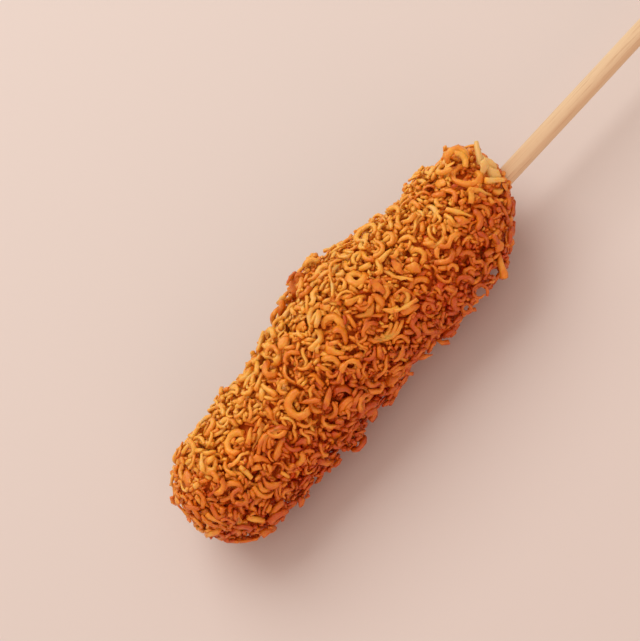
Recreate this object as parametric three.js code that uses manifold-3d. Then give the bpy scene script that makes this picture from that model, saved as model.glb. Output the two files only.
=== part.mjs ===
// A corn dog in a crust of crushed fried noodles, on a round wooden stick, lying on its side.
// Millimetres, +Z up, the surface it lies on at Z = 0. The stick runs along +X, from the tip of the
// food to the end that is held. The origin is on that surface, under the middle of the whole.
import * as THREE from "three";
import { mergeVertices } from "three/addons/utils/BufferGeometryUtils.js";
import Module from "manifold-3d";

// Driving dimensions.
const FOOD_LENGTH = 163.5;
const TIP_ROUNDING = 21; // the tip is a blunt dome this long
const HAND_END_ROUNDING = 30; // the end at the stick tapers over this length
const STICK_DIAMETER = 6.7;
const STICK_SHOWN = 105; // how far the stick stands out of the food
const STICK_BURIED = 110; // how deep the stick goes into the food
const STICK_CHAMFER = 0.6;
const STICK_POINT = 12; // length of the blunt point inside the food
const STICK_TIP_SHARE = 0.35; // that point's end, as a share of the stick's radius
const STICK_HEIGHT = 21.8; // the stick's centre line above the surface
const SOCKET_CLEARANCE = 0.3; // round the stick and past its point

// The food's radius at distances from its tip: a waist, a belly past the middle, then a shoulder.
const GIRTH = {
  along: [0, 38, 62, 90, 110, 135, FOOD_LENGTH],
  value: [22.5, 21.8, 23.2, 25.9, 23.6, 22.6, 22.2],
};
// How far the food's middle stands off the stick, because the batter didn't rise evenly round it.
const DRIFT = {
  along: [0, 36, 64, 90, 110, 132, 150, FOOD_LENGTH],
  value: [-3, -1.6, -0.4, 4.6, 0.8, 0, 4.4, 7.6],
};
const DRIFT_ANGLE = THREE.MathUtils.degToRad(30); // that way lies above +Y by this angle

// The crust's noodle crumbs show as short ridges that lie every way on the food.
const CRUMB_COUNT = 430;
const CRUMB_LENGTH = { min: 4, max: 13 };
const CRUMB_HALF_WIDTH = 2.5;
const CRUMB_HEIGHT = { min: 1.2, max: 3.1 };
const CRUST_DEPTH = 2.2; // the outline touches the higher ridges, and the valleys lie this far in
const CRUMB_SEED = 20;

const FOOD_STATIONS = 68;
const FOOD_SIDES = 60;
const STICK_SIDES = 24;

const CRUST_COLOUR = 0xcb7a30;
const WOOD_COLOUR = 0xe4c69a;

const wasm = await Module();
wasm.setup();

/** A smooth function through values given at distances along the food. */
function smoothThrough({ along, value }) {
  const interpolant = new THREE.CubicInterpolant(along, value, 1);
  return (distance) => interpolant.evaluate(distance)[0];
}

const girthAt = smoothThrough(GIRTH);
const driftAt = smoothThrough(DRIFT);

/** Repeatable random numbers from 0 to 1. */
function randomSource(seed) {
  let state = seed;
  return () => {
    state = (state + 0x6d2b79f5) | 0;
    let mixed = Math.imul(state ^ (state >>> 15), 1 | state);
    mixed = (mixed + Math.imul(mixed ^ (mixed >>> 7), 61 | mixed)) ^ mixed;
    return ((mixed ^ (mixed >>> 14)) >>> 0) / 4294967296;
  };
}

/** The food's side outline from tip to hand end: its radius (x) against the distance from the tip (y). */
class FoodProfile extends THREE.Curve {
  getPoint(t, target = new THREE.Vector2()) {
    const along = t * FOOD_LENGTH;
    const intoTip = Math.max(0, 1 - along / TIP_ROUNDING);
    const intoHandEnd = Math.max(0, 1 - (FOOD_LENGTH - along) / HAND_END_ROUNDING);
    const rounding = Math.sqrt((1 - intoTip ** 2) * (1 - intoHandEnd ** 2));
    return target.set(girthAt(along) * rounding, along);
  }
}

/** One ridge for each crumb: its middle, the way it runs on the unrolled skin, and its size. */
function scatterCrumbs() {
  const random = randomSource(CRUMB_SEED);
  const between = (range) => range.min + (range.max - range.min) * random();
  return Array.from({ length: CRUMB_COUNT }, () => ({
    along: random() * FOOD_LENGTH,
    angle: random() * 2 * Math.PI,
    heading: random() * Math.PI,
    length: between(CRUMB_LENGTH),
    height: between(CRUMB_HEIGHT),
  }));
}

const crumbs = scatterCrumbs();

/** Height of the crumbs over the valleys between them, at a distance along and an angle round the food. */
function reliefAt(along, angle, radius) {
  let height = 0;
  for (const crumb of crumbs) {
    const turn = Math.atan2(Math.sin(angle - crumb.angle), Math.cos(angle - crumb.angle));
    const across = turn * Math.max(radius, CRUMB_HALF_WIDTH);
    const dx = along - crumb.along;
    if (Math.abs(dx) > CRUMB_LENGTH.max || Math.abs(across) > CRUMB_LENGTH.max) continue;
    const run = dx * Math.cos(crumb.heading) + across * Math.sin(crumb.heading);
    const side = -dx * Math.sin(crumb.heading) + across * Math.cos(crumb.heading);
    const past = Math.max(0, Math.abs(run) - crumb.length / 2);
    const distance = Math.hypot(past, side) / CRUMB_HALF_WIDTH;
    if (distance < 1) height = Math.max(height, crumb.height * Math.sqrt(1 - distance ** 2));
  }
  return height;
}

/** A closed three.js geometry as a manifold solid. */
function solidOf(geometry) {
  const bare = geometry.clone();
  bare.deleteAttribute("normal");
  bare.deleteAttribute("uv");
  const merged = mergeVertices(bare, 1e-3);
  return new wasm.Manifold(
    new wasm.Mesh({
      numProp: 3,
      vertProperties: merged.attributes.position.array,
      triVerts: new Uint32Array(merged.index.array),
    }),
  );
}

/** A manifold solid as a three.js geometry with flat faces. */
function geometryOf(solid) {
  const { vertProperties, triVerts } = solid.getMesh();
  const geometry = new THREE.BufferGeometry()
    .setAttribute("position", new THREE.BufferAttribute(vertProperties, 3))
    .setIndex(new THREE.BufferAttribute(triVerts, 1));
  geometry.computeVertexNormals();
  return geometry;
}

/** The stick's shape, grown by a clearance: blunt at the held end, pointed inside the food. */
function stickGeometry(clearance, heldEndAt) {
  const radius = STICK_DIAMETER / 2 + clearance;
  const pointAt = FOOD_LENGTH - STICK_BURIED - clearance;
  const profile = [
    new THREE.Vector2(0, pointAt),
    new THREE.Vector2(radius * STICK_TIP_SHARE, pointAt),
    new THREE.Vector2(radius, pointAt + STICK_POINT),
    new THREE.Vector2(radius, heldEndAt - STICK_CHAMFER),
    new THREE.Vector2(radius - STICK_CHAMFER, heldEndAt),
    new THREE.Vector2(0, heldEndAt),
  ];
  const turned = new THREE.LatheGeometry(profile, STICK_SIDES);
  return turned.rotateZ(-Math.PI / 2).translate(0, 0, STICK_HEIGHT);
}

/** The food in its crust of crumbs, settled flat where it lies, with the socket that the stick fills. */
function foodGeometry() {
  const profile = new FoodProfile().getSpacedPoints(FOOD_STATIONS);
  profile[0].x = 0;
  profile[FOOD_STATIONS].x = 0;
  const skin = new THREE.LatheGeometry(profile, FOOD_SIDES).rotateZ(-Math.PI / 2);
  const position = skin.attributes.position;
  for (let i = 0; i < position.count; i++) {
    const along = position.getX(i);
    const radius = Math.hypot(position.getY(i), position.getZ(i));
    const angle = Math.atan2(position.getZ(i), position.getY(i));
    const roundness = radius / girthAt(along);
    const bumpy = radius + (reliefAt(along, angle, radius) - CRUST_DEPTH) * roundness;
    const drift = driftAt(along);
    const y = bumpy * Math.cos(angle) + drift * Math.cos(DRIFT_ANGLE);
    const z = bumpy * Math.sin(angle) + drift * Math.sin(DRIFT_ANGLE) + STICK_HEIGHT;
    position.setXYZ(i, along, y, Math.max(z, 0));
  }
  const socket = solidOf(stickGeometry(SOCKET_CLEARANCE, FOOD_LENGTH + HAND_END_ROUNDING));
  return geometryOf(solidOf(skin).subtract(socket));
}

/** A named mesh in its own plain material. */
function namedMesh(name, geometry, color, roughness) {
  const material = new THREE.MeshStandardMaterial({ color, roughness, metalness: 0 });
  const mesh = new THREE.Mesh(geometry, material);
  mesh.name = name;
  return mesh;
}

const cornDog = new THREE.Group();
cornDog.add(namedMesh("crusted_food", foodGeometry(), CRUST_COLOUR, 0.55));
cornDog.add(namedMesh("stick", stickGeometry(0, FOOD_LENGTH + STICK_SHOWN), WOOD_COLOUR, 0.7));

const extent = new THREE.Box3().setFromObject(cornDog, true);
const middle = extent.getCenter(new THREE.Vector3());
cornDog.position.set(-middle.x, -middle.y, 0);

export default cornDog;
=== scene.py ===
"""A corn dog in a crust of crushed fried noodles, on a round birch stick, lying on its side.

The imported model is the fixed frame. Over a core of browned batter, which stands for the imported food, the
crumbs of fried noodle are settled one by one at their true size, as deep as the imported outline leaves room.
"""

from __future__ import annotations

import logging
import math
from collections import defaultdict
from dataclasses import dataclass
from enum import Enum

import bpy
import numpy as np
from mathutils import Euler, Matrix, Vector
from mathutils.bvhtree import BVHTree
from mathutils.noise import noise


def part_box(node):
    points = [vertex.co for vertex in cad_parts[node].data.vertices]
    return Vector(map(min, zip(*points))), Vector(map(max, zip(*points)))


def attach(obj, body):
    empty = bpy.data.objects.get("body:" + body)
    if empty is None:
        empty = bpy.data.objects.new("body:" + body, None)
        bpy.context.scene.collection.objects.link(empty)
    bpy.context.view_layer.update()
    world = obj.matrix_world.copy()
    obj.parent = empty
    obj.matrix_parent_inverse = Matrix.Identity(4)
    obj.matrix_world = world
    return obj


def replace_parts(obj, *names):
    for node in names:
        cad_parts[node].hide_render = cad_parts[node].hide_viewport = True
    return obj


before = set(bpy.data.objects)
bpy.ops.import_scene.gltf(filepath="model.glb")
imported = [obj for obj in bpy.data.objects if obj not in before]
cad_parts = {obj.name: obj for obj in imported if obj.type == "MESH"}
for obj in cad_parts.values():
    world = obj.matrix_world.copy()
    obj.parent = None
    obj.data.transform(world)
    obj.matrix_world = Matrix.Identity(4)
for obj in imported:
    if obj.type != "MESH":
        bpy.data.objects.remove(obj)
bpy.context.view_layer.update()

log = logging.getLogger("corn_dog")

Tree = bpy.types.NodeTree
Socket = bpy.types.NodeSocket

MM = 0.001
SEED = 7
FOOD_NODE = "crusted_food"
STICK_NODE = "stick"
BODY = "root"
BAKE_MAP = "OFBake"
SNAP_MM = 0.01  # places that are closer than this count as the same


# ---------------------------------------------------------------- small helpers


def linear(colour: str) -> tuple[float, float, float, float]:
    """Turns an sRGB colour into linear light.

    Args:
        colour: the colour as "#rrggbb".

    Returns:
        Linear red, green and blue, and an alpha of 1.
    """
    parts = [int(colour[i : i + 2], 16) / 255 for i in (1, 3, 5)]
    light = [c / 12.92 if c <= 0.04045 else ((c + 0.055) / 1.055) ** 2.4 for c in parts]
    return (*light, 1.0)


def per_metre(size_mm: float) -> float:
    """Gives the pattern scale that makes one feature this many millimetres wide."""
    return 1 / (size_mm * MM)


def add_node(
    tree: Tree,
    kind: str,
    inputs: dict[str | int, object] | None = None,
    stops: dict[float, str] | None = None,
    **settings: object,
) -> bpy.types.Node:
    """Adds a node to a material.

    Args:
        tree: the material's node tree.
        kind: Blender's name for the type of node, without "ShaderNode".
        inputs: for each input, the value it is set to, or the socket or node that is linked to it.
            A node is linked by its first output.
        stops: the colours of its ramp, if it has one, by their places from 0 to 1.
        settings: the node's own properties.

    Returns:
        The new node.
    """
    node = tree.nodes.new("ShaderNode" + kind)
    for name, value in settings.items():
        setattr(node, name, value)
    for number, (place, colour) in enumerate((stops or {}).items()):
        elements = node.color_ramp.elements
        element = elements[number] if number < 2 else elements.new(place)  # a new ramp has two
        element.position = place
        element.color = linear(colour)
    for key, value in (inputs or {}).items():
        if isinstance(value, bpy.types.Node):
            value = value.outputs[0]
        if isinstance(value, Socket):
            tree.links.new(value, node.inputs[key])
        else:
            node.inputs[key].default_value = value
    return node


def leave_edit_mode() -> None:
    """Puts the active object, if there is one, back in object mode."""
    if bpy.context.object and bpy.context.object.mode != "OBJECT":
        bpy.ops.object.mode_set(mode="OBJECT")


def deselect_all() -> None:
    """Leaves nothing selected, so that an operator acts only on what is added next."""
    leave_edit_mode()
    bpy.ops.object.select_all(action="DESELECT")


def apply_modifier(kind: str, **settings: object) -> None:
    """Adds a modifier to the active object and applies it.

    Args:
        kind: Blender's name for the type of modifier.
        settings: the modifier's properties.
    """
    piece = bpy.context.object
    modifier = piece.modifiers.new(kind.lower(), kind)
    for name, value in settings.items():
        setattr(modifier, name, value)
    bpy.ops.object.modifier_apply(modifier=modifier.name)


def roughen(size_mm: float, strength: float, **settings: object) -> None:
    """Makes the active mesh uneven in a cloudy pattern, inwards and outwards.

    Args:
        size_mm: how wide one cloud is.
        strength: how far the highest stands over the lowest, in metres.
        settings: more of the modifier's properties.
    """
    clouds = bpy.data.textures.new("clouds", "CLOUDS")
    clouds.noise_scale = size_mm * MM
    apply_modifier("DISPLACE", texture=clouds, strength=strength, mid_level=0.5, **settings)
    bpy.data.textures.remove(clouds)


def select_only(mode: str, wanted: list[int]) -> None:
    """Selects some of the active mesh's faces or edges and enters edit mode.

    Args:
        mode: "polygons" or "edges".
        wanted: the indices to select.
    """
    leave_edit_mode()
    bpy.context.tool_settings.mesh_select_mode = (False, mode == "edges", mode == "polygons")
    mesh = bpy.context.object.data
    for elements in (mesh.vertices, mesh.edges, mesh.polygons):
        elements.foreach_set("select", [False] * len(elements))
    chosen = getattr(mesh, mode)
    for index in wanted:
        chosen[index].select = True
    bpy.ops.object.mode_set(mode="EDIT")


def fix_order() -> None:
    """Numbers the active mesh's vertices and faces by their places, as operators number them by chance."""
    piece = bpy.context.object
    mesh = piece.data
    places = np.round(np.array([v.co for v in mesh.vertices], float) / (SNAP_MM * MM)) * SNAP_MM * MM
    order = np.lexsort(places.T)
    number = np.argsort(order)
    faces = []
    for face in mesh.polygons:
        corners = [int(number[index]) for index in face.vertices]
        first = corners.index(min(corners))
        faces.append(tuple(corners[first:] + corners[:first]))
    piece.data = bpy.data.meshes.new(mesh.name)
    piece.data.from_pydata(places[order].tolist(), [], sorted(faces))
    bpy.data.meshes.remove(mesh)


def finish_piece(name: str, material: bpy.types.Material) -> bpy.types.Object:
    """Names the active piece, applies its place, smooths its mesh and makes it ride on the part.

    Args:
        name: the piece's name.
        material: its finish.

    Returns:
        The finished piece.
    """
    leave_edit_mode()
    piece = bpy.context.object
    piece.name = piece.data.name = name
    bpy.ops.object.transform_apply(location=True, rotation=True, scale=True)
    bpy.ops.object.shade_smooth()
    piece.data.materials.clear()
    piece.data.materials.append(material)
    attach(piece, BODY)
    log.info("%s: %d faces", name, len(piece.data.polygons))
    return piece


# ---------------------------------------------------------------- finishes


@dataclass(frozen=True)
class Finish:
    """What a piece's surface is made of."""

    def material(self, name: str) -> bpy.types.Material:
        """Builds the finish.

        Args:
            name: the material's name.

        Returns:
            The material.
        """
        made = bpy.data.materials.new(name)
        made.use_nodes = True
        tree = made.node_tree
        tree.nodes.clear()
        place = add_node(tree, "TexCoord").outputs["Object"]
        skin = add_node(tree, "BsdfPrincipled", self.skin(tree, place))
        add_node(tree, "OutputMaterial", {"Surface": skin})
        return made

    def skin(self, tree: Tree, place: Socket) -> dict[str, object]:
        """Builds the finish's patterns.

        Args:
            tree: the material's node tree.
            place: the place on the piece.

        Returns:
            What each of the shader's sockets is linked or set to.
        """
        raise NotImplementedError


@dataclass(frozen=True)
class FriedNoodle(Finish):
    """Wheat noodle, deep-fried: a golden crust that browns at its ends, blistered, with a film of oil.

    It reads two attributes. fry is each crumb's browning, with painted shade on the side of the food away
    from the lights. depth is how far in it lies, which sets how much painted glow it is given.
    """

    hardly: str = "#e6c478"  # a few that the oil hardly reached
    pale: str = "#f0b644"
    golden: str = "#e48a18"
    brown: str = "#c25206"
    painted_glow: str = "#ffa428"  # painted glow: the deepest crumbs get this colour in place of light that has been through the crumbs
    painted_ember: str = "#f04e04"  # painted glow of the same kind, between browned crumbs
    painted_glow_share: float = 0.85  # how much of the painted glow the deepest crumbs have
    blotch_mm: float = 3.2
    blotch_by: float = 0.22  # how much browner or paler a blotch is than its crumb
    blister_mm: float = 0.7  # real blisters are about half as wide, and too fine to show
    blister_depth_mm: float = 0.45
    roughness: tuple[float, float] = (0.2, 0.48)
    bleed_mm: float = 0.6  # how far light goes into a crumb

    def skin(self, tree: Tree, place: Socket) -> dict[str, object]:
        """Builds the browning and the blisters, as the base class says."""
        fry = add_node(tree, "Attribute", attribute_name="fry").outputs["Fac"]
        depth = add_node(tree, "Attribute", attribute_name="depth").outputs["Fac"]
        # The oil browns each crumb unevenly, mostly by its own size and a little in patches.
        broad = {"Vector": place, "Scale": per_metre(self.blotch_mm), "Detail": 3}
        spread = {"From Min": 0.3, "From Max": 0.7, "To Min": -self.blotch_by, "To Max": self.blotch_by}
        patch = add_node(tree, "MapRange", {"Value": add_node(tree, "TexNoise", broad), **spread})
        browning = add_node(tree, "Math", {0: fry, 1: patch}, operation="ADD")
        along = add_node(tree, "MapRange", {"Value": browning, "From Min": -1})
        stops = {0.3: self.hardly, 0.5: self.pale, 0.75: self.golden, 1.0: self.brown}
        fried = add_node(tree, "ValToRGB", {0: along}, stops)
        # Painted glow: the deeper a crumb lies in the crust, the more of the glow colour it gets, yellower on
        # pale crumbs and redder on browned ones.
        lit = {0: fry, 6: linear(self.painted_glow), 7: linear(self.painted_ember)}
        deep = add_node(tree, "Mix", lit, data_type="RGBA").outputs[2]
        shade = add_node(tree, "MapRange", {"Value": depth, "From Min": 0.1, "To Max": self.painted_glow_share})
        fine = {"Vector": place, "Scale": per_metre(self.blister_mm), "Detail": 4, "Roughness": 0.65}
        blisters = add_node(tree, "TexNoise", fine)
        gloss = {"Value": blisters, "To Min": self.roughness[0], "To Max": self.roughness[1]}
        relief = {"Height": blisters, "Strength": 0.6, "Distance": self.blister_depth_mm * MM}
        return {
            "Base Color": add_node(tree, "Mix", {0: shade, 6: fried, 7: deep}, data_type="RGBA").outputs[2],
            "Roughness": add_node(tree, "MapRange", gloss),
            "Normal": add_node(tree, "Bump", relief),
            "IOR": 1.45,
            "Specular IOR Level": 0.65,
            "Subsurface Weight": 0.5,
            "Subsurface Radius": (1.0, 0.5, 0.2),
            "Subsurface Scale": self.bleed_mm * MM,
        }


@dataclass(frozen=True)
class BrownedBatter(Finish):
    """Yeast batter, deep-fried until dark: rough and pitted, with a film of oil that shines dully."""

    brown: str = "#e0741a"
    dark: str = "#c2540e"
    patch_mm: float = 5.0
    pit_mm: float = 1.4
    pit_depth_mm: float = 0.6
    roughness: float = 0.6

    def skin(self, tree: Tree, place: Socket) -> dict[str, object]:
        """Builds the patches and the pits, as the base class says."""
        broad = {"Vector": place, "Scale": per_metre(self.patch_mm), "Detail": 4}
        patches = {"Value": add_node(tree, "TexNoise", broad), "From Min": 0.35, "From Max": 0.65}
        tones = {0: add_node(tree, "MapRange", patches), 6: linear(self.dark), 7: linear(self.brown)}
        fine = {"Vector": place, "Scale": per_metre(self.pit_mm), "Detail": 5, "Roughness": 0.6}
        pits = add_node(tree, "TexNoise", fine)
        relief = {"Height": pits, "Strength": 0.6, "Distance": self.pit_depth_mm * MM}
        return {
            "Base Color": add_node(tree, "Mix", tones, data_type="RGBA").outputs[2],
            "Roughness": self.roughness,
            "Normal": add_node(tree, "Bump", relief),
            "IOR": 1.4,
            "Specular IOR Level": 0.2,
        }


@dataclass(frozen=True)
class BirchWood(Finish):
    """Birch dowel, turned and left bare: pale and matt, with fine straight grain and a few darker fibres."""

    pale: str = "#e0d0ae"
    tan: str = "#ceb28c"
    fibre: str = "#ae865a"
    grain_mm: float = 0.5
    grain_length_mm: float = 22.0
    grain_depth_mm: float = 0.12
    tone_mm: float = 4.0
    roughness: float = 0.62

    def skin(self, tree: Tree, place: Socket) -> dict[str, object]:
        """Builds the grain, which runs along X as the stick does, as the base class says."""
        stretch = (self.grain_mm / self.grain_length_mm, 1, 1)
        along = add_node(tree, "Mapping", {"Vector": place, "Scale": stretch})
        fine = {"Vector": along, "Scale": per_metre(self.grain_mm), "Detail": 4, "Roughness": 0.7}
        grain = add_node(tree, "TexNoise", fine)
        broad = {"Vector": along, "Scale": per_metre(self.tone_mm), "Detail": 2}
        warm = {"Value": add_node(tree, "TexNoise", broad), "From Min": 0.35, "From Max": 0.65}
        tones = {0: add_node(tree, "MapRange", warm), 6: linear(self.pale), 7: linear(self.tan)}
        ground = add_node(tree, "Mix", tones, data_type="RGBA").outputs[2]
        dark = {"Value": grain, "From Min": 0.54, "From Max": 0.74, "To Max": 0.75}
        fibres = {0: add_node(tree, "MapRange", dark), 6: ground, 7: linear(self.fibre)}
        relief = {"Height": grain, "Strength": 0.35, "Distance": self.grain_depth_mm * MM}
        return {
            "Base Color": add_node(tree, "Mix", fibres, data_type="RGBA").outputs[2],
            "Roughness": self.roughness,
            "Normal": add_node(tree, "Bump", relief),
            "IOR": 1.5,
        }


@dataclass(frozen=True)
class StudioPaper(Finish):
    """Seamless studio paper: pale and quite matt."""

    colour: str = "#d4d3d4"
    roughness: float = 0.85

    def skin(self, tree: Tree, place: Socket) -> dict[str, object]:
        """Gives the plain colour, as the base class says."""
        return {"Base Color": linear(self.colour), "Roughness": self.roughness}


# ---------------------------------------------------------------- crumbs


class CrumbKind(Enum):
    """The shapes that crushed curly noodles break into."""

    CRUSH = "crush"
    BIT = "bit"
    CRUMBLE = "crumble"
    ROD = "rod"
    CURL = "curl"
    HOOK = "hook"
    WAVE = "wave"
    CRESCENT = "crescent"
    RING = "ring"
    NEST = "nest"
    CHIP = "chip"
    FOLD = "fold"
    SHARD = "shard"
    GRIT = "grit"
    LOOP = "loop"


@dataclass(frozen=True)
class Leg:
    """One stretch of a strand, which may turn sideways and grow wider or narrower on its way."""

    length_mm: float
    turn_deg: float = 0.0
    steps: int = 2
    width: float = 1.0  # at its end, as a share of the strand's width


@dataclass(frozen=True)
class Recipe:
    """How one kind of crumb is shaped and how many lie on the food."""

    legs: tuple[Leg, ...]
    counts: tuple[int, int, int]  # how many are dropped in each round, of which only some find room
    width_mm: float = 1.95
    flatness: float = 0.88  # thickness over width
    start: float = 0.9  # width where it begins, as a share of the strand's width
    strands: int = 1  # strands that fried together side by side
    rise_deg: float = 14.0  # how far a leg may rise out of the plane that it lies in
    stand: float = 0.2  # the share of such crumbs that stand on edge or end
    variants: int = 6


RECIPES: dict[CrumbKind, Recipe] = {
    CrumbKind.CRUSH: Recipe((Leg(3.4, 20, 1, 0.85),), (3600, 0, 0), start=0.8, stand=0.1),
    CrumbKind.BIT: Recipe((Leg(3.4, 50, 2, 0.85),), (0, 2600, 3600), start=0.8, stand=0.3, variants=9),
    CrumbKind.CRUMBLE: Recipe((Leg(2.0, 15, 2, 0.8),), (0, 0, 6000), width_mm=1.5, stand=0.3),
    CrumbKind.ROD: Recipe((Leg(3.0, 14), Leg(3.0, -26, 2, 0.8)), (0, 1300, 0)),
    CrumbKind.CURL: Recipe((Leg(7.0, 165, 5, 0.85),), (0, 3800, 0), width_mm=1.8, stand=0.35, variants=12),
    CrumbKind.HOOK: Recipe(
        (Leg(2.4, 0, 1), Leg(5.2, 155, 4, 0.8)), (0, 2000, 0), width_mm=1.8, stand=0.35, variants=8
    ),
    CrumbKind.WAVE: Recipe((Leg(3.9, 110, 3), Leg(3.9, -110, 3, 0.8)), (0, 900, 0), width_mm=1.8),
    CrumbKind.CRESCENT: Recipe(
        (Leg(3.8, 55, 3), Leg(3.8, 55, 3, 0.4)), (0, 500, 0), width_mm=2.6, flatness=0.68, start=0.4
    ),
    CrumbKind.RING: Recipe((Leg(17.0, 305, 11, 0.9),), (0, 120, 0), width_mm=2.1, rise_deg=3),
    CrumbKind.NEST: Recipe(
        (Leg(7.6, 115, 5, 0.9),), (0, 100, 0), width_mm=1.8, strands=3, rise_deg=3, stand=0
    ),
    CrumbKind.CHIP: Recipe(
        (Leg(2.4, 12, 2, 1.1), Leg(2.2, -20, 2, 0.6)), (0, 1000, 0), width_mm=3.3, flatness=0.46, start=0.6
    ),
    CrumbKind.FOLD: Recipe(
        (Leg(3.4, 15, 2), Leg(5.0, 120, 4, 0.8)), (0, 450, 0), width_mm=1.4, flatness=2.7, stand=0.1
    ),
    CrumbKind.SHARD: Recipe(
        (Leg(3.6, 10, 2, 0.8), Leg(5.0, -10, 2, 0.2)), (0, 8, 0), width_mm=3.8, flatness=0.4
    ),
    CrumbKind.GRIT: Recipe((Leg(1.1, 0, 1, 0.8),), (0, 0, 2800), width_mm=1.2, stand=0, variants=4),
    # Loops are only placed one by one, among the landmarks.
    CrumbKind.LOOP: Recipe((Leg(12.5, 345, 11, 0.9),), (0, 0, 0), width_mm=1.4, rise_deg=3, variants=4),
}


@dataclass(frozen=True)
class Round:
    """One round of laying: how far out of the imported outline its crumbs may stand, in millimetres."""

    lowest_mm: float
    highest_mm: float
    far_mm: float = 0.0  # a few stand out as far as this
    far_share: float = 0.0
    tries: int = 12  # places that are compared for each crumb


ROUNDS = (
    Round(-2.4, -1.6, tries=3),  # a bed of small bits on the batter
    Round(-0.7, 1.3, far_mm=3.2, far_share=0.05, tries=4),  # the long and broad crumbs
    Round(-0.8, 0.6, far_mm=2.4, far_share=0.04, tries=8),  # small bits and grit in the gaps
)


@dataclass(frozen=True)
class Landmark:
    """One crumb that stands out among the others, by its place and turn as the camera sees it."""

    kind: CrumbKind
    at_px: tuple[float, float]  # of a frame of View.frame_px
    turn_deg: float = 0.0  # the way it sets out, anticlockwise from the camera's right
    size: float = 1.0
    fry: float = 0.4  # below 0 the oil hardly reached it
    stands_off: bool = False  # it stands off the food with its breadth to the camera
    variant: int = 0


# The pale ones round the stick were held out of the oil. The lower edge has open loops and spikes.
LANDMARKS = (
    Landmark(CrumbKind.RING, at_px=(465, 174), turn_deg=200, size=1.05, fry=0.3),
    Landmark(CrumbKind.CURL, at_px=(456, 156), turn_deg=94, size=1.3, fry=0.2, stands_off=True),
    Landmark(CrumbKind.CURL, at_px=(460, 160), turn_deg=70, size=1.1, fry=0.05, stands_off=True, variant=6),
    Landmark(CrumbKind.ROD, at_px=(478, 153.5), turn_deg=96, size=1.25, fry=-0.7, stands_off=True, variant=3),
    Landmark(CrumbKind.SHARD, at_px=(489, 161), turn_deg=122, size=0.9, fry=-0.7, stands_off=True, variant=2),
    Landmark(CrumbKind.CHIP, at_px=(483, 166), turn_deg=70, size=1.1, fry=-0.25, stands_off=True),
    Landmark(CrumbKind.CHIP, at_px=(494, 171), turn_deg=-40, size=1.2, fry=-0.3, stands_off=True, variant=1),
    Landmark(CrumbKind.ROD, at_px=(495, 180), turn_deg=-2, size=1.05, fry=-0.1, stands_off=True, variant=3),
    Landmark(CrumbKind.ROD, at_px=(481, 189.5), turn_deg=-3, size=1.2, fry=0.1, variant=5),
    Landmark(CrumbKind.BIT, at_px=(471, 198), turn_deg=85, size=1.3, fry=0.3, variant=1),
    Landmark(CrumbKind.BIT, at_px=(503, 190), turn_deg=0, size=1.2, fry=0.1),
    Landmark(CrumbKind.CURL, at_px=(485, 210), turn_deg=75, fry=0.45, variant=1),
    Landmark(CrumbKind.CHIP, at_px=(295, 285), turn_deg=60, size=1.3, fry=0.7, stands_off=True, variant=3),
    Landmark(CrumbKind.CURL, at_px=(299, 278), turn_deg=110, size=1.1, fry=0.75, stands_off=True, variant=9),
    Landmark(CrumbKind.BIT, at_px=(301, 289), turn_deg=20, size=1.3, fry=0.65, stands_off=True, variant=2),
    Landmark(CrumbKind.BIT, at_px=(280, 307), turn_deg=60, size=1.3, fry=0.6, stands_off=True, variant=2),
    Landmark(CrumbKind.CURL, at_px=(310, 262), turn_deg=140, size=1.0, fry=0.2, stands_off=True, variant=6),
    Landmark(CrumbKind.ROD, at_px=(501, 266), turn_deg=97, size=1.3, fry=0.42, stands_off=True, variant=3),
    Landmark(
        CrumbKind.LOOP, at_px=(480.5, 292), turn_deg=60, size=0.95, fry=0.85, stands_off=True, variant=3
    ),
    Landmark(CrumbKind.LOOP, at_px=(467, 309), turn_deg=150, size=0.85, fry=0.85, stands_off=True, variant=2),
    Landmark(CrumbKind.BIT, at_px=(480, 316), turn_deg=-15, size=0.9, fry=0.9, stands_off=True, variant=6),
    Landmark(CrumbKind.BIT, at_px=(459, 321), turn_deg=25, size=1.1, fry=0.85, stands_off=True, variant=3),
    Landmark(CrumbKind.BIT, at_px=(444, 342), turn_deg=-40, fry=0.8, stands_off=True, variant=4),
    Landmark(CrumbKind.SHARD, at_px=(425, 356), turn_deg=-2, size=0.62, fry=0.7, stands_off=True, variant=2),
    Landmark(CrumbKind.BIT, at_px=(409, 372), turn_deg=-60, size=0.9, fry=0.8, stands_off=True, variant=5),
    Landmark(CrumbKind.RING, at_px=(355, 277), turn_deg=100, size=1.1, fry=0.2, variant=2),
    Landmark(CrumbKind.ROD, at_px=(355, 299), turn_deg=15, size=1.15, fry=0.25, variant=3),
    Landmark(CrumbKind.CRESCENT, at_px=(365, 309.5), turn_deg=0, size=1.15, fry=0.15),
    Landmark(CrumbKind.CHIP, at_px=(297, 326), turn_deg=10, size=1.1, fry=0.3, variant=1),
    Landmark(CrumbKind.CURL, at_px=(329, 325), turn_deg=85, size=1.3, fry=0.25),
    Landmark(CrumbKind.FOLD, at_px=(341, 335), turn_deg=100, size=0.9, fry=0.5),
    Landmark(CrumbKind.NEST, at_px=(297, 283), turn_deg=30, size=0.9, fry=0.75, variant=1),
    Landmark(CrumbKind.CHIP, at_px=(411, 312), turn_deg=25, size=1.35, fry=0.5, variant=2),
    Landmark(CrumbKind.NEST, at_px=(388, 331), turn_deg=-40, size=1.3, fry=0.4),
    Landmark(CrumbKind.CURL, at_px=(437, 313), turn_deg=-60, size=1.1, fry=0.5, variant=3),
    Landmark(CrumbKind.CURL, at_px=(421, 284), turn_deg=150, size=1.15, fry=0.35, variant=5),
    Landmark(CrumbKind.RING, at_px=(232, 440), turn_deg=150, size=1.15, fry=0.2, variant=3),
    Landmark(CrumbKind.CURL, at_px=(300, 479), turn_deg=80, size=1.2, fry=0.35, variant=4),
    Landmark(CrumbKind.SHARD, at_px=(258, 436), turn_deg=250, size=0.85, fry=0.2, variant=3),
)


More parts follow.
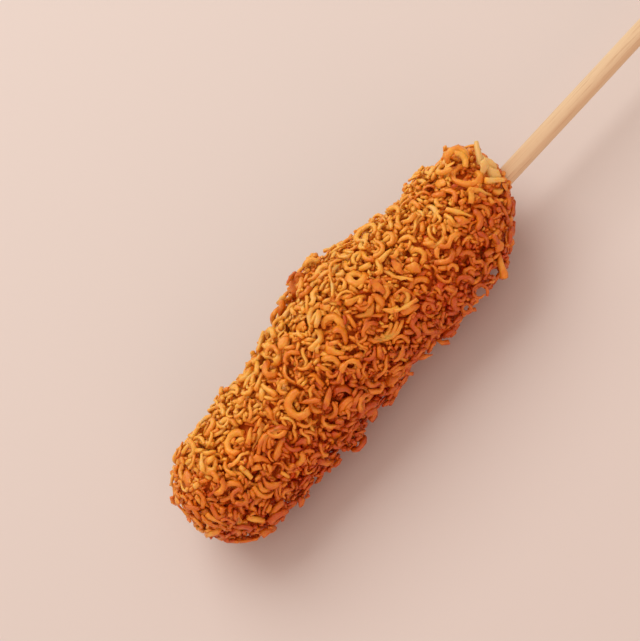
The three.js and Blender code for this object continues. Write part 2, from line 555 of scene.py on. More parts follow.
@dataclass(frozen=True)
class Gap:
    """A place where the camera looks past the food's edge, or down into a hollow of the crust."""

    at_px: tuple[float, float]  # of a frame of View.frame_px
    radius_mm: float
    bed_mm: float = 0.0  # crumbs whose tops are this close to the batter are laid there all the same


GAPS = (
    Gap(at_px=(480.5, 292), radius_mm=1.3),  # inside the two open loops
    Gap(at_px=(467, 309), radius_mm=0.9),
    Gap(at_px=(494, 272), radius_mm=0.8),  # round the rod that stands off over them
    Gap(at_px=(511, 272), radius_mm=1.4),
    Gap(at_px=(514, 257), radius_mm=1.4),
    Gap(at_px=(497, 153), radius_mm=3.0),  # between the pale crumbs and the stick
    Gap(at_px=(503, 164), radius_mm=1.4),
    Gap(at_px=(510.5, 175), radius_mm=1.5),
    Gap(at_px=(486, 150), radius_mm=1.3),
    Gap(at_px=(488, 146), radius_mm=1.8),
    Gap(at_px=(466, 140), radius_mm=1.6),  # past the hand end: over it, on its left and on its right
    Gap(at_px=(431, 156), radius_mm=3.2),
    Gap(at_px=(516.5, 192), radius_mm=1.8),
    Gap(at_px=(456, 176), radius_mm=1.4, bed_mm=2.8),  # inside the ring by the stick
    Gap(at_px=(467, 176), radius_mm=1.5, bed_mm=2.8),
    Gap(at_px=(495, 193), radius_mm=1.0, bed_mm=2.8),  # hollows between it and the lower edge
    Gap(at_px=(475, 248), radius_mm=1.2, bed_mm=2.8),
    Gap(at_px=(462, 262), radius_mm=1.2, bed_mm=2.8),
    Gap(at_px=(355, 280), radius_mm=1.2, bed_mm=2.8),  # inside the ring on the belly
    Gap(at_px=(329, 331), radius_mm=1.2, bed_mm=2.8),  # and inside the curl beside it
)


@dataclass
class CrumbShape:
    """One modelled crumb, lying flat about the origin, as arrays that its copies are made from."""

    vertices: np.ndarray
    faces: list[tuple[int, ...]]
    uvs: list[np.ndarray]
    spine: np.ndarray
    radius: float


class StrandModeller:
    """Models a piece of noodle strand by extruding a six-sided section along its legs."""

    SIDES = 6
    PUFF_MM = 1.7
    PUFF_SHARE = 0.64  # how high the puffs are, as a share of the strand's width
    PUFFED_MM = 2  # strands that are broader puff up no more than one of this width
    WOBBLE = 0.17  # how far each step strays from the leg's turn, in radians
    SWELL = 0.18  # how much a step's width may differ from the leg's
    WIDTHS = (0.8, 1.22)  # how much variants differ, as shares of what the recipe says
    FLATNESSES = (0.85, 1.15)
    STRETCHES = (0.75, 1.3)
    TURNS = (0.75, 1.2)
    SLANT = 0.65  # the most that a broken end slants, in radians
    RIM = 0.14  # its rim and its crown, as shares of the strand's width
    CROWNS = (0.02, 0.16)
    SPACING = 0.86  # strands that fried together are this share of a width apart

    def __init__(self, recipe: Recipe, rng: np.random.Generator) -> None:
        """Sets the strand's start.

        Args:
            recipe: the strand's legs, width and flatness.
            rng: the source of what differs between variants.
        """
        self.recipe = recipe
        self.rng = rng
        self.width = recipe.width_mm * MM * rng.uniform(*self.WIDTHS)
        self.share = recipe.start
        self.place = Vector((0, 0, 0))
        self.ahead = Vector((1, 0, 0))
        self.spine = [self.place.copy()]

    def model(self) -> CrumbShape:
        """Models the strand.

        Returns:
            The finished crumb, centred on its middle.
        """
        deselect_all()
        bpy.ops.mesh.primitive_circle_add(
            vertices=self.SIDES, radius=self.width / 2, fill_type="NGON", rotation=(0, math.pi / 2, 0)
        )
        bpy.ops.object.transform_apply(rotation=True)
        flatness = self.recipe.flatness * self.rng.uniform(*self.FLATNESSES)
        select_only("polygons", [0])
        bpy.ops.transform.resize(value=(1, self.share, self.share * flatness), center_override=(0, 0, 0))
        for leg in self.recipe.legs:
            self._lay(leg)
        self._break_off(self.ahead)
        leave_edit_mode()
        start = min(bpy.context.object.data.polygons, key=lambda face: face.center.length)
        select_only("polygons", [start.index])
        self.place = Vector((0, 0, 0))
        self._break_off(Vector((-1, 0, 0)))
        self._add_strands()
        return self._read()

    def _lay(self, leg: Leg) -> None:
        """Extrudes the end face along one leg, and turns and widens it on the way.

        Args:
            leg: the stretch to lay.
        """
        stretch = self.rng.uniform(*self.STRETCHES)
        turn = math.radians(leg.turn_deg * self.rng.uniform(*self.TURNS)) / leg.steps
        rise = math.tan(math.radians(self.rng.uniform(-1, 1) * self.recipe.rise_deg))
        step = leg.length_mm * MM * stretch / leg.steps
        growth = (leg.width / self.share) ** (1 / leg.steps)
        self.share = leg.width
        for _ in range(leg.steps):
            bent = turn + self.rng.normal(0, self.WOBBLE)
            ahead = Matrix.Rotation(bent / 2, 3, "Z") @ self.ahead + Vector((0, 0, rise))
            bpy.ops.mesh.extrude_region_move(TRANSFORM_OT_translate={"value": ahead * step})
            self.place = self.place + ahead * step
            self.ahead = Matrix.Rotation(bent, 3, "Z") @ self.ahead
            # With no window, rotate turns against the axis's right hand.
            bpy.ops.transform.rotate(value=-bent, orient_axis="Z", center_override=self.place)
            scale = growth * (1 + self.rng.uniform(-self.SWELL, self.SWELL))
            bpy.ops.transform.resize(value=(scale, scale, scale), center_override=self.place)
            self.spine.append(self.place.copy())

    def _break_off(self, outward: Vector) -> None:
        """Finishes the selected end face as a broken end, slanted and a little crowned.

        Args:
            outward: the way out of the strand.
        """
        slant = self.rng.uniform(-self.SLANT, self.SLANT)
        bpy.ops.transform.rotate(value=slant, orient_axis="Z", center_override=self.place)
        bpy.ops.mesh.inset(thickness=self.width * self.share * self.RIM)
        bpy.ops.transform.translate(value=outward * self.width * self.rng.uniform(*self.CROWNS))

    def _add_strands(self) -> None:
        """Copies the strand sideways, where several fried together."""
        middle = sum(self.spine, Vector()) / len(self.spine)
        side = (middle - self.spine[0]).normalized()
        lone = list(self.spine)
        for i in range(1, self.recipe.strands):
            shift = side * self.width * self.SPACING
            if i == 1:
                bpy.ops.mesh.select_all(action="SELECT")
            bpy.ops.mesh.duplicate_move(TRANSFORM_OT_translate={"value": shift})
            self.spine += [point + shift * i for point in lone]

    def _read(self) -> CrumbShape:
        """Makes the strand puffed and uneven, unwraps it, and turns it into arrays.

        Returns:
            The crumb.
        """
        leave_edit_mode()
        fix_order()
        bpy.ops.object.mode_set(mode="EDIT")
        bpy.ops.mesh.select_all(action="SELECT")
        bpy.ops.uv.smart_project(angle_limit=1.15, island_margin=0.02)
        leave_edit_mode()
        piece = bpy.context.object
        piece.location.x = self.rng.uniform(-1, 1)  # another place in the cloudy pattern
        puffs = min(self.width, self.PUFFED_MM * MM) * self.PUFF_SHARE
        roughen(self.PUFF_MM, puffs, texture_coords="GLOBAL")
        mesh = piece.data
        vertices = np.array([v.co for v in mesh.vertices], float)
        spine = np.array(self.spine, float)
        middle = (spine.min(0) + spine.max(0)) / 2
        layer = mesh.uv_layers.active.data
        shape = CrumbShape(
            vertices - middle,
            [tuple(face.vertices) for face in mesh.polygons],
            [np.array([layer[i].uv for i in face.loop_indices], float) for face in mesh.polygons],
            spine - middle,
            self.width * (1 + self.recipe.flatness) / 4,
        )
        bpy.data.objects.remove(piece)
        return shape


@dataclass
class Settled:
    """One crumb at rest: spun on its seat, bent round the food, then tilted and put in place."""

    shape: CrumbShape
    size: float
    spin: np.ndarray
    bend: np.ndarray  # how much it follows the food along and round it, per metre
    turn: np.ndarray  # from the crumb's tilted axes to the part's
    place: np.ndarray
    height: float
    normal: np.ndarray
    room: float
    fry: float
    proud: float = 0.0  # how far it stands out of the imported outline

    def put(self, points: np.ndarray) -> np.ndarray:
        """Carries points from the crumb's own frame to where it rests.

        Args:
            points: places in the crumb's own frame.

        Returns:
            Their places on the food.
        """
        bent = points @ self.spin.T * self.size
        bent[:, 2] -= (bent[:, :2] ** 2) @ self.bend
        return self.place + bent @ self.turn.T

    def depth(self, points: np.ndarray) -> np.ndarray:
        """Gives how far in the crust points lie, from 0 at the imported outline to 1 on the batter."""
        above = (points - self.place) @ self.normal + self.height
        return np.clip(1 - above / max(self.room, MM), 0, 1)


@dataclass
class CrustPile:
    """Settles crumbs on the batter, each as low as those under it allow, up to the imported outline."""

    core: bpy.types.Object
    outline: bpy.types.Object
    view: View
    rng: np.random.Generator
    seats: int = 24000
    sink_mm: float = 0.35  # how far a crumb sits in the batter
    squeeze: float = 0.76  # strands that fried together are this share of their widths apart
    steepest_deg: float = 30.0
    follow: float = 0.6  # how much of the food's roundness a strand follows
    slab_mm: float = 6.0  # crumbs are looked up by slabs of this thickness across the food
    least_mm: float = 4.6  # the crust is at least this thick
    clump_mm: float = 9.0  # its crumbs lie in clumps and hollows about this wide
    clump_height_mm: float = 1.7
    grip_mm: float = 4.8  # a crumb that stands off the food has its nearest end this close to the batter
    before_mm: float = 2.0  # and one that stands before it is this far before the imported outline
    painted_shade_side: tuple[float, float, float] = (0.0, -0.75, -0.66)  # the side of the food that is painted browner, as painted shade away from the lights
    # how much browner that side is painted, as painted shade
    painted_shade_by: float = 0.46
    patch_mm: float = 13.0  # and it is browned in patches about this wide
    patch_by: float = 0.3
    palest: float = 0.04  # no crumb that is laid by chance is less browned, or more
    brownest: float = 0.95
    edge_turns: tuple[float, float] = (1.4, 1.0)  # the most that a standing crumb leans and rears, in radians
    flat_turns: tuple[float, float] = (0.3, 0.16)  # and the usual for one that lies flat
    tilts: int = 7  # how many tilts are tried along the food, and as many round it
    tilt_cost_mm: float = 0.5  # what a tilt of 45 degrees has to win in height
    reach_mm: float = 20.0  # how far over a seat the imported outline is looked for
    drop_mm: float = 12.0  # how far over and under a seat's plane the batter is looked for
    thinnest_mm: float = 12.0  # crumbs follow the food as if it were no thinner than this about its axis
    search_mm: int = 40  # how far before and behind the stick a place past the food's edge is looked for
    clear_mm: tuple[int, int] = (2, 4)  # heights over a crumb that shows that are kept clear

    def __post_init__(self) -> None:
        """Finds places to lay crumbs, spread evenly on the batter, and the room over each."""
        mesh = self.core.data
        mesh.calc_loop_triangles()
        corners = np.array([v.co for v in mesh.vertices], float)
        normals = np.array([v.normal for v in mesh.vertices], float)
        triangles = np.array([t.vertices for t in mesh.loop_triangles])
        areas = np.array([t.area for t in mesh.loop_triangles])
        picked = self.rng.choice(len(triangles), self.seats, p=areas / areas.sum())
        shares = self.rng.dirichlet((1, 1, 1), self.seats)[:, :, None]
        self.seat = (corners[triangles[picked]] * shares).sum(1)
        normal = (normals[triangles[picked]] * shares).sum(1)
        self.normal = normal / np.linalg.norm(normal, axis=1)[:, None]
        self.ground = BVHTree.FromPolygons(corners.tolist(), triangles.tolist())
        limit = self.outline.data
        self.shell = BVHTree.FromPolygons(
            [v.co for v in limit.vertices], [tuple(face.vertices) for face in limit.polygons]
        )
        up, reach = zip(self.seat, self.normal), self.reach_mm * MM
        rooms = [self.shell.ray_cast(Vector(seat), Vector(normal), reach)[3] for seat, normal in up]
        thin, clump = self.least_mm * MM, per_metre(self.clump_mm)
        clumps = [noise(Vector(s) * clump) * self.clump_height_mm * MM for s in self.seat]
        self.room = np.maximum([room or 0.0 for room in rooms], thin) + clumps
        patch = per_metre(self.patch_mm)
        patches = np.array([noise(Vector(s) * patch) for s in self.seat])
        # Painted shade: crumbs on the side facing away from the lights get browner colour. The patches are
        # browning.
        self.shade_and_browning = self.painted_shade_by * (self.normal @ self.painted_shade_side) + self.patch_by * patches
        # Each seat's own X runs along the food, or across it where the food faces that way itself.
        along = np.where(np.abs(self.normal[:, :1]) < 0.99, (1.0, 0.0, 0.0), (0.0, 1.0, 0.0))
        along -= self.normal * (along * self.normal).sum(1)[:, None]
        along /= np.linalg.norm(along, axis=1)[:, None]
        self.axes = np.stack((along, np.cross(self.normal, along), self.normal), 2)
        low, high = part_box(STICK_NODE)
        self.axis = np.array((low + high) / 2)
        slopes = np.tan(np.radians(np.linspace(-self.steepest_deg, self.steepest_deg, self.tilts)))
        self.slopes = np.stack([grid.ravel() for grid in np.meshgrid(slopes, slopes)])
        self.slabs = defaultdict(lambda: np.empty((0, 4)))
        self.sights = [(np.array(self.view.ray(gap.at_px)), gap) for gap in GAPS]

    def lay(
        self, shape: CrumbShape, size: float, tries: int, stands: bool, overshoot: float, fry: float
    ) -> Settled | None:
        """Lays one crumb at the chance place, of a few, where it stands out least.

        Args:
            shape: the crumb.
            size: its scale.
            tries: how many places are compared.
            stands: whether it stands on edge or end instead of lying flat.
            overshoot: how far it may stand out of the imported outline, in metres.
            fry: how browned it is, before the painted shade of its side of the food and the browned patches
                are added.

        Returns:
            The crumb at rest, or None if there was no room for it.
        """
        found = []
        for _ in range(tries):
            at = int(self.rng.integers(len(self.seat)))
            if stands:
                lean, rear = (self.rng.uniform(-most, most) for most in self.edge_turns)
            else:
                lean, rear = (self.rng.normal(0, usual) for usual in self.flat_turns)
            turns = (self.rng.uniform(0, 2 * math.pi), rear, lean)
            # Painted shade: the seat's side of the food makes the crumb browner.
            shade_and_browning = min(max(fry + float(self.shade_and_browning[at]), self.palest), self.brownest)
            found.append(self._rest(shape, at, turns, size, shade_and_browning))
        lowest = min(found, key=lambda rest: rest.proud)
        if lowest.proud > overshoot or self._shuts(lowest):
            return None
        self._note(lowest)
        return lowest

    def place(self, mark: Landmark, shape: CrumbShape) -> Settled:
        """Lays one crumb where the camera sees it.

        Args:
            mark: where it is.
            shape: the crumb.

        Returns:
            The crumb at rest.
        """
        hit = self.shell.ray_cast(self.view.eye, self.view.ray(mark.at_px))[0]
        if mark.stands_off:
            crumb = self._stand_off(mark, shape, hit)
        else:
            turn = math.radians(mark.turn_deg)
            tops = self.seat + self.normal * self.room[:, None]
            at = int(((tops - np.array(hit)) ** 2).sum(1).argmin())
            ahead = self.view.right * math.cos(turn) + self.view.up * math.sin(turn)
            ahead = np.array(ahead) @ self.axes[at]
            crumb = self._rest(shape, at, (math.atan2(ahead[1], ahead[0]), 0.0, 0.0), mark.size, mark.fry)
        self._note(crumb)
        return crumb

    def _shuts(self, crumb: Settled) -> bool:
        """Tells whether a crumb would stand in a gap, as the camera sees it.

        Args:
            crumb: the crumb at rest.

        Returns:
            Whether it does.
        """
        points = crumb.put(crumb.shape.spine) - np.array(self.view.eye)
        radius = crumb.shape.radius * crumb.size
        for ray, gap in self.sights:
            aside = np.linalg.norm(points - np.outer(points @ ray, ray), axis=1)
            top = crumb.proud + crumb.room
            if top > gap.bed_mm * MM and aside.min() < gap.radius_mm * MM + radius:
                return True
        return False

    def keep_clear(self, crumb: Settled) -> None:
        """Keeps the crumbs that are still to come from lying over one that shows."""
        for lift in self.clear_mm:
            self._note(crumb, crumb.normal * lift * MM)

    def _stand_off(self, mark: Landmark, shape: CrumbShape, hit: Vector | None) -> Settled:
        """Stands a crumb off the food with its breadth to the camera and its nearest end in the crust.

        Args:
            mark: where it is.
            shape: the crumb.
            hit: the point of the outline that it stands before, or None if it is seen past the food's edge.

        Returns:
            The crumb in its place.
        """
        view = self.view
        ray = view.ray(mark.at_px)
        if hit:
            place = np.array(hit + view.back * self.before_mm * MM)
        else:
            middle = (Vector(self.axis) - view.eye).dot(view.back) / ray.dot(view.back)
            reaches = [middle + step * MM for step in range(-self.search_mm, self.search_mm + 1)]
            reach = min(reaches, key=lambda length: self.ground.find_nearest(view.eye + ray * length)[3])
            place = np.array(view.eye + ray * reach)
        at = int(((self.seat - place) ** 2).sum(1).argmin())
        normal, room = self.normal[at], self.room[at]
        height = float((place - self.seat[at]) @ normal)
        spin = np.array(Matrix.Rotation(math.radians(mark.turn_deg), 3, "Z"))
        facing = np.array(view.turn)
        crumb = Settled(shape, mark.size, spin, np.zeros(2), facing, place, height, normal, room, mark.fry)
        spine = crumb.put(shape.spine)
        found = [self.ground.find_nearest(Vector(point)) for point in spine]
        nearest = int(np.argmin([distance for *_, distance in found]))
        under, _, _, gap = found[nearest]
        grip = self.grip_mm * MM
        if gap > grip:
            shift = (np.array(under) - spine[nearest]) * (1 - grip / gap)
            crumb.place = place + shift
            crumb.height = height + float(shift @ normal)
        return crumb

    def _note(self, crumb: Settled, shift: np.ndarray | float = 0.0) -> None:
        """Notes where a crumb's strand lies, for those that come to rest on it.

        Args:
            crumb: the crumb at rest.
            shift: how far from there it is noted.
        """
        for point in crumb.put(crumb.shape.spine) + shift:
            slab = self._slab(point[0])
            self.slabs[slab] = np.vstack((self.slabs[slab], (*point, crumb.shape.radius * crumb.size)))

    def _slab(self, x: float) -> int:
        """Gives the number of the slab across the food that a place lies in."""
        return math.floor(x / (self.slab_mm * MM))

    def _ground_under(self, points: np.ndarray, normal: np.ndarray) -> np.ndarray:
        """Finds how high the batter is under points of a seat's plane.

        Args:
            points: points in the seat's plane.
            normal: the seat's normal.

        Returns:
            Each height over that plane, negative where the food curves away.
        """
        lift, down = self.drop_mm * MM, Vector(-normal)
        found = [self.ground.ray_cast(Vector(p + normal * lift), down, 2 * lift)[3] for p in points]
        return np.array([-lift if distance is None else lift - distance for distance in found])

    def _piled_under(self, points: np.ndarray, normal: np.ndarray, radius: float) -> np.ndarray:
        """Finds how high a strand's points must be to lie on the crumbs that are already there.

        Args:
            points: the points in the seat's plane.
            normal: the seat's normal.
            radius: the strand's radius.

        Returns:
            Each point's lowest height over that plane.
        """
        middle = points.mean(0)
        span = np.linalg.norm(points - middle, axis=1).max() + self.slab_mm * MM
        slabs = range(self._slab(middle[0] - span), self._slab(middle[0] + span) + 1)
        piled = np.concatenate([self.slabs[slab] for slab in slabs])
        piled = piled[((piled[:, :3] - middle) ** 2).sum(1) < span**2]
        if not len(piled):
            return np.full(len(points), -1.0)
        apart = piled[None, :, :3] - points[:, None]
        height = apart @ normal
        aside = (apart**2).sum(2) - height**2
        touch = (self.squeeze * (piled[:, 3] + radius)) ** 2
        return np.where(aside < touch, height + np.sqrt(np.maximum(touch - aside, 0)), -1).max(1)

    def _rest(
        self, shape: CrumbShape, at: int, turns: tuple[float, float, float], size: float, fry: float
    ) -> Settled:
        """Lowers a crumb at one place until it rests, tilted so that its middle lies as low as it can.

        Args:
            shape: the crumb.
            at: the number of the seat.
            turns: the way it points on the surface, how far it rears up, and its turn about its length.
            size: its scale.
            fry: how browned it is.

        Returns:
            The crumb at rest.
        """
        seat, normal, axes = self.seat[at], self.normal[at], self.axes[at]
        spin = np.array(Euler(turns[::-1], "XYZ").to_matrix())
        girth = max(math.hypot(*(seat - self.axis)[1:]), self.thinnest_mm * MM)
        bend = self.follow / (2 * girth) * np.array((abs(normal[0]), 1.0))
        rest = Settled(shape, size, spin, bend, np.eye(3), np.zeros(3), 0.0, normal, self.room[at], fry)
        local = rest.put(shape.spine)
        flat = seat + local[:, :2] @ axes[:, :2].T
        radius = shape.radius * size
        needed = self._ground_under(flat, normal) + radius - self.sink_mm * MM
        needed = np.maximum(needed, self._piled_under(flat, normal, radius))
        lifted = local[:, 2] + self.slopes.T @ local[:, :2].T
        heights = (needed - lifted).max(1)
        best = int((heights + self.tilt_cost_mm * MM * (self.slopes**2).sum(0)).argmin())
        rest.height = heights[best]
        rest.proud = lifted[best].max() + rest.height + radius - self.room[at]
        pitch, roll = np.arctan(self.slopes[:, best])
        tilt = Matrix.Rotation(roll, 3, "X") @ Matrix.Rotation(-pitch, 3, "Y")
        rest.turn = axes @ np.array(tilt)
        rest.place = seat + normal * rest.height
        return rest


@dataclass
class NoodleCrust:
    """The whole crust: every kind of crumb is modelled, settled and joined into one piece of its kind."""

    core: bpy.types.Object
    view: View
    rng: np.random.Generator
    finish: FriedNoodle = FriedNoodle()
    sizes: tuple[float, float] = (0.84, 1.3)
    fry: float = 0.54  # how browned the crumbs are on the whole
    fry_spread: float = 0.18
    ends_browner: float = 0.5  # how much browner a crumb is at its ends than in its middle
    crisp_deg: float = 80.0  # broken edges steeper than this stay sharp
    standing_far: int = 4  # those that stand are this many times as likely to stand out far
    margin: float = 0.04  # round each crumb's part of the UV map, as a share of it

    def build(self) -> list[bpy.types.Object]:
        """Models, settles and joins the crumbs.

        Returns:
            One piece for each kind.
        """
        shapes = {
            kind: [StrandModeller(recipe, self.rng).model() for _ in range(recipe.variants)]
            for kind, recipe in RECIPES.items()
        }
        pile = CrustPile(self.core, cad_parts[FOOD_NODE], self.view, self.rng)
        laid = {kind: [] for kind in RECIPES}
        for number, rule in enumerate(ROUNDS):
            if number == 1:
                placed = [pile.place(mark, shapes[mark.kind][mark.variant]) for mark in LANDMARKS]
                for mark, crumb in zip(LANDMARKS, placed):
                    pile.keep_clear(crumb)
                    laid[mark.kind].append(crumb)
            order = [kind for kind, recipe in RECIPES.items() for _ in range(recipe.counts[number])]
            for at in self.rng.permutation(len(order)):
                kind = order[at]
                crumb = self._lay(pile, shapes[kind], RECIPES[kind], rule)
                if crumb:
                    laid[kind].append(crumb)
        for kind, crumbs in laid.items():
            log.info("%s: %d of %d laid", kind.value, len(crumbs), sum(RECIPES[kind].counts))
        material = self.finish.material("fried wheat noodle")
        return [self._join(kind.value, crumbs, material) for kind, crumbs in laid.items() if crumbs]

    def _lay(self, pile: CrustPile, shapes: list[CrumbShape], recipe: Recipe, rule: Round) -> Settled | None:
        """Lays one crumb of a kind by chance.

        Args:
            pile: what it is laid on.
            shapes: the kind's variants.
            recipe: the kind's recipe.
            rule: the round's rule.

        Returns:
            The crumb at rest, or None if there was no room for it.
        """
        shape = shapes[int(self.rng.integers(len(shapes)))]
        size = self.rng.uniform(*self.sizes)
        stands = self.rng.random() < recipe.stand
        far = self.rng.random() < rule.far_share * (self.standing_far if stands else 1)
        overshoot = self.rng.uniform(rule.lowest_mm, rule.far_mm if far else rule.highest_mm) * MM
        fry = self.rng.normal(self.fry, self.fry_spread)
        return pile.lay(shape, size, rule.tries, stands, overshoot, fry)

    def _join(self, name: str, crumbs: list[Settled], material: bpy.types.Material) -> bpy.types.Object:
        """Joins copies of one kind of crumb into a piece, each with its own part of the UV map.

        Args:
            name: the kind's name.
            crumbs: the copies.
            material: their finish.

        Returns:
            The piece.
        """
        across = math.ceil(math.sqrt(len(crumbs)))
        vertices, faces, uvs, fry, depth = [], [], [], [], []
        count = 0
        for number, crumb in enumerate(crumbs):
            placed = crumb.put(crumb.shape.vertices)
            placed[:, 2] = np.maximum(placed[:, 2], 0)
            corner = np.array((number % across, number // across))
            vertices.append(placed)
            faces += [tuple(index + count for index in face) for face in crumb.shape.faces]
            uvs += [(corner + self.margin + (1 - 2 * self.margin) * uv) / across for uv in crumb.shape.uvs]
            reach = np.linalg.norm(crumb.shape.vertices, axis=1)
            fry.append(crumb.fry + self.ends_browner * (reach - reach.mean()) / reach.max())
            # depth sets how much painted glow the finish gives each point.
            depth.append(crumb.depth(placed))
            count += len(placed)
        mesh = bpy.data.meshes.new(name)
        mesh.from_pydata(np.concatenate(vertices).tolist(), [], faces)
        layer = mesh.uv_layers.new(name=BAKE_MAP)
        layer.data.foreach_set("uv", np.concatenate(uvs).ravel())
        for attribute, values in (("fry", fry), ("depth", depth)):
            made = mesh.attributes.new(attribute, "FLOAT", "POINT")
            made.data.foreach_set("value", np.concatenate(values))
        piece = bpy.data.objects.new(name, mesh)
        bpy.context.scene.collection.objects.link(piece)
        deselect_all()
        piece.select_set(True)
        bpy.context.view_layer.objects.active = piece
        finish_piece("crumbs_" + name, material)
        bpy.ops.object.shade_smooth_by_angle(angle=math.radians(self.crisp_deg))
        return piece


# ---------------------------------------------------------------- food and stick


@dataclass
class BatterCore:
    """The sausage-shaped batter under the crust, a crust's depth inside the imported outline."""

    crust_mm: float = 4.8
    cuts: int = 34
    lump_mm: float = 6.0
    lump_height_mm: float = 0.9
    finish: BrownedBatter = BrownedBatter()

    def build(self) -> bpy.types.Object:
        """Models the core.

        Returns:
            The finished core.
        """
        low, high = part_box(FOOD_NODE)
        middle = (low + high) / 2
        radius = (high.z - low.z) / 2
        deselect_all()
        bpy.ops.mesh.primitive_uv_sphere_add(
            segments=64, ring_count=32, radius=radius, location=middle, rotation=(0, math.pi / 2, 0)
        )
        bpy.ops.object.transform_apply(location=True, rotation=True)
        self._stretch(middle.x, (high.x - low.x) / 2 - radius)
        for cut in range(1, self.cuts):
            at = low.x + radius + (high.x - low.x - 2 * radius) * cut / self.cuts
            bpy.ops.mesh.select_all(action="SELECT")
            bpy.ops.mesh.bisect(plane_co=(at, middle.y, middle.z), plane_no=(1, 0, 0))
        leave_edit_mode()
        fix_order()
        apply_modifier("SHRINKWRAP", target=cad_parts[FOOD_NODE], wrap_method="NEAREST_SURFACEPOINT")
        apply_modifier("SMOOTH", factor=0.5, iterations=14)
        apply_modifier("DISPLACE", strength=-self.crust_mm * MM, mid_level=0.0)
        apply_modifier("SMOOTH", factor=0.5, iterations=6)
        roughen(self.lump_mm, self.lump_height_mm * MM)
        piece = finish_piece("batter_core", self.finish.material("browned batter"))
        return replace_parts(piece, FOOD_NODE)

    def _stretch(self, middle: float, shift: float) -> None:
        """Moves the sphere's two halves apart, which leaves a straight stretch between them.

        Args:
            middle: the x of the sphere's centre.
            shift: how far each half moves along X.
        """
        for side in (-1, 1):
            mesh = bpy.context.object.data
            select_only("polygons", [f.index for f in mesh.polygons if (f.center.x - middle) * side > 0])
            bpy.ops.transform.translate(value=(side * shift, 0, 0))
            leave_edit_mode()
        bpy.ops.object.mode_set(mode="EDIT")


@dataclass
class BirchStick:
    """The round stick: sanded at the end that is held and pointed inside the food."""

    sides: int = 48
    cut_mm: float = 6.0
    round_mm: float = 0.7
    point_mm: float = 12.0
    point_share: float = 0.35
    end_facing: float = -0.9  # the point's end face looks at least this squarely back along X
    waver_mm: float = 0.12  # how uneven its skin is, and over what length
    waver_length_mm: float = 18.0
    crisp_deg: float = 50.0  # edges steeper than this stay sharp
    finish: BirchWood = BirchWood()

    def build(self) -> bpy.types.Object:
        """Models the stick.

        Returns:
            The finished stick.
        """
        low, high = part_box(STICK_NODE)
        middle = (low + high) / 2
        radius = (high.z - low.z) / 2
        deselect_all()
        bpy.ops.mesh.primitive_cylinder_add(
            vertices=self.sides,
            radius=radius - self.waver_mm * MM / 2,
            depth=high.x - low.x,
            location=middle,
            rotation=(0, math.pi / 2, 0),
        )
        bpy.ops.object.transform_apply(location=True, rotation=True)
        mesh = bpy.context.object.data
        rim = [e.index for e in mesh.edges if all(mesh.vertices[v].co.x > middle.x for v in e.vertices)]
        select_only("edges", rim)
        bpy.ops.mesh.bevel(offset=self.round_mm * MM, segments=4, affect="EDGES")
        at = low.x + self.point_mm * MM
        while at < high.x - 2 * self.round_mm * MM:
            bpy.ops.mesh.select_all(action="SELECT")
            bpy.ops.mesh.bisect(plane_co=(at, middle.y, middle.z), plane_no=(1, 0, 0))
            at += self.cut_mm * MM
        leave_edit_mode()
        point = [f.index for f in bpy.context.object.data.polygons if f.normal.x < self.end_facing]
        select_only("polygons", point)
        bpy.ops.transform.resize(value=(1, self.point_share, self.point_share))
        leave_edit_mode()
        roughen(self.waver_length_mm, self.waver_mm * MM)
        piece = finish_piece("birch_stick", self.finish.material("bare birch"))
        bpy.ops.object.shade_smooth_by_angle(angle=math.radians(self.crisp_deg))
        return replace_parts(piece, STICK_NODE)


# ---------------------------------------------------------------- studio


@dataclass
class View:
    """The camera's place: the stick crosses its frame at a slope, and the food has its size there."""

    frame_px: tuple[int, int] = (640, 641)
    px_per_mm: float = 2.9
    tip_px: tuple[float, float] = (188.0, 518.5)  # where the food's tip is, on the stick's line
    slope_deg: float = 47.1  # of the stick in the frame
    look_down_deg: float = 60.0
    lens_mm: float = 85.0
    sensor_mm: float = 36.0

    def __post_init__(self) -> None:
        """Works out the camera's axes and place."""
        low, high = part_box(STICK_NODE)
        axis = (low + high) / 2
        tip = Vector((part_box(FOOD_NODE)[0].x, axis.y, axis.z))
        look, slope = math.radians(self.look_down_deg), math.radians(self.slope_deg)
        across = Vector((0, -math.sin(look), -math.cos(look)))
        self.right = Vector((1, 0, 0)) * math.cos(slope) + across * math.sin(slope)
        self.up = Vector((1, 0, 0)) * math.sin(slope) - across * math.cos(slope)
        self.back = self.right.cross(self.up)
        self.turn = Matrix((self.right, self.up, self.back)).transposed()
        self.focal_px = self.lens_mm / self.sensor_mm * max(self.frame_px)
        scale = MM / self.px_per_mm
        aside = self.right * (self.frame_px[0] / 2 - self.tip_px[0])
        above = self.up * (self.tip_px[1] - self.frame_px[1] / 2)
        self.eye = tip + (aside + above + self.back * self.focal_px) * scale

    def ray(self, at_px: tuple[float, float]) -> Vector:
        """Gives the direction from the camera through a pixel.

        Args:
            at_px: the pixel, counted from the frame's upper left.

        Returns:
            The direction.
        """
        aside = self.right * (at_px[0] - self.frame_px[0] / 2)
        above = self.up * (self.frame_px[1] / 2 - at_px[1])
        return (aside + above - self.back * self.focal_px).normalized()


@dataclass(frozen=True)
class Lamp:
    """A square soft light that faces the food."""

    name: str
    towards: tuple[float, float, float]  # the direction in which it stands
    size: float  # its side, in metres
    power: float  # in watts
    colour: str
    distance: float = 1.3  # in metres


LAMPS = (
    Lamp("key", (0.1, 0.60, 0.80), size=1.1, power=10.8, colour="#fff3e8"),
    Lamp("fill", (-0.2, -0.85, 0.3), size=1.0, power=4.2, colour="#ffb6a2"),
)


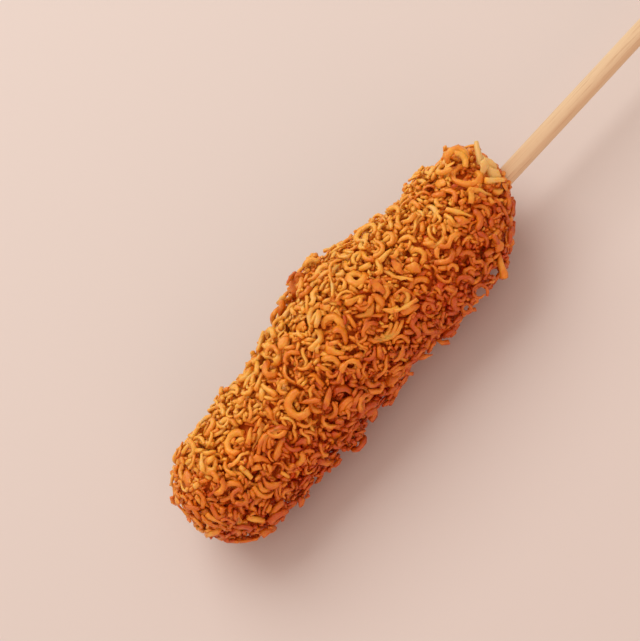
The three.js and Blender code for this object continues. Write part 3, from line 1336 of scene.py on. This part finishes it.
@dataclass
class Studio:
    """A pale paper floor, soft light from the food's far upper side, and the camera."""

    view: View
    floor_mm: float = 6000.0
    paper: StudioPaper = StudioPaper()
    room_colour: str = "#f8dac8"
    room_light: float = 0.75

    def build(self) -> None:
        """Makes the floor, the lights and the camera."""
        deselect_all()
        bpy.ops.mesh.primitive_plane_add(size=self.floor_mm * MM)
        floor = bpy.context.object
        floor.name = "paper_floor"
        floor.data.materials.append(self.paper.material("studio paper"))
        for lamp in LAMPS:
            self._add_light(lamp)
        world = bpy.data.worlds.new("soft room")
        bpy.context.scene.world = world
        world.use_nodes = True
        background = world.node_tree.nodes["Background"]
        background.inputs["Color"].default_value = linear(self.room_colour)
        background.inputs["Strength"].default_value = self.room_light
        bpy.context.scene.view_settings.view_transform = "Standard"
        self._add_camera()

    def _add_light(self, lamp: Lamp) -> None:
        """Adds a square soft light.

        Args:
            lamp: the light, which faces the food's middle.
        """
        low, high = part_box(FOOD_NODE)
        outward = Vector(lamp.towards).normalized()
        bpy.ops.object.light_add(
            type="AREA",
            location=(low + high) / 2 + outward * lamp.distance,
            rotation=outward.to_track_quat("Z", "Y").to_euler(),
        )
        light = bpy.context.object
        light.name = lamp.name
        light.data.size = lamp.size
        light.data.energy = lamp.power
        light.data.color = linear(lamp.colour)[:3]

    def _add_camera(self) -> None:
        """Adds the camera at its place."""
        lens = bpy.data.cameras.new("camera")
        lens.lens = self.view.lens_mm
        lens.sensor_width = self.view.sensor_mm
        camera = bpy.data.objects.new("camera", lens)
        bpy.context.scene.collection.objects.link(camera)
        camera.matrix_world = Matrix.Translation(self.view.eye) @ self.view.turn.to_4x4()
        bpy.context.scene.camera = camera


def main() -> None:
    """Builds the studio, the core, the stick and the crust, and notes the sizes."""
    logging.basicConfig(level=logging.INFO, format="%(message)s")
    rng = np.random.default_rng(SEED)
    view = View()
    Studio(view).build()
    core = BatterCore().build()
    BirchStick().build()
    pieces = NoodleCrust(core, view, rng).build()
    log.info("%d kinds of crumb", len(pieces))


if __name__ == "__main__":
    main()
